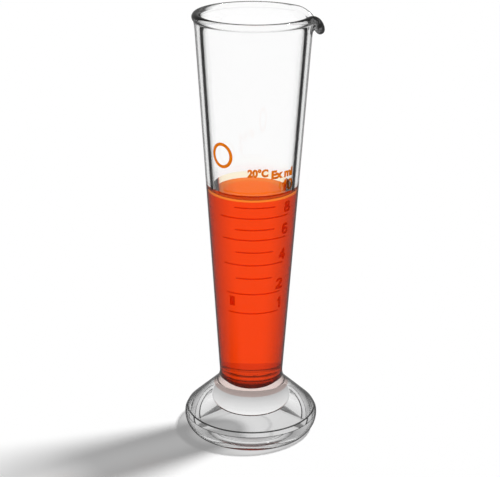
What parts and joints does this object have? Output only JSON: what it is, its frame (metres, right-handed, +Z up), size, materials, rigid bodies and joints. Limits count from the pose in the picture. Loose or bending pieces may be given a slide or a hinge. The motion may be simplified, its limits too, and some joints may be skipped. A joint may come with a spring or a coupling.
{
  "type": "measuring cylinder",
  "caption": "Small tapered glass measuring cylinder with a heavy domed foot, a rolled rim with a pouring spout, a printed scale on its front and a filling of orange liquid.",
  "frame": {"origin": "centre of the standing face, on the tube's axis", "axes": "+Z up along the tube; the printed scale faces -Y; the pouring spout leaves on the +X side, 14 degrees towards +Y"},
  "size_m": [0.0331, 0.0331, 0.105],
  "materials": {
    "glass": "clear, fire polished",
    "liquid": "clear dyed liquid, smooth surface",
    "enamel": "fired print, slightly glossy"
  },
  "bodies": {
    "root": {"glass_cylinder": "glass", "liquid": "liquid", "line_10_ml": "enamel", "line_9_ml": "enamel", "line_8_ml": "enamel", "line_7_ml": "enamel", "line_6_ml": "enamel", "line_5_ml": "enamel", "line_4_ml": "enamel", "line_3_ml": "enamel", "line_2_ml": "enamel", "line_1_ml": "enamel", "numeral_10": "enamel", "numeral_8": "enamel", "numeral_6": "enamel", "numeral_4": "enamel", "numeral_2": "enamel", "numeral_1": "enamel", "printed_bar": "enamel", "printed_ring": "enamel"}
  },
  "joints": []
}
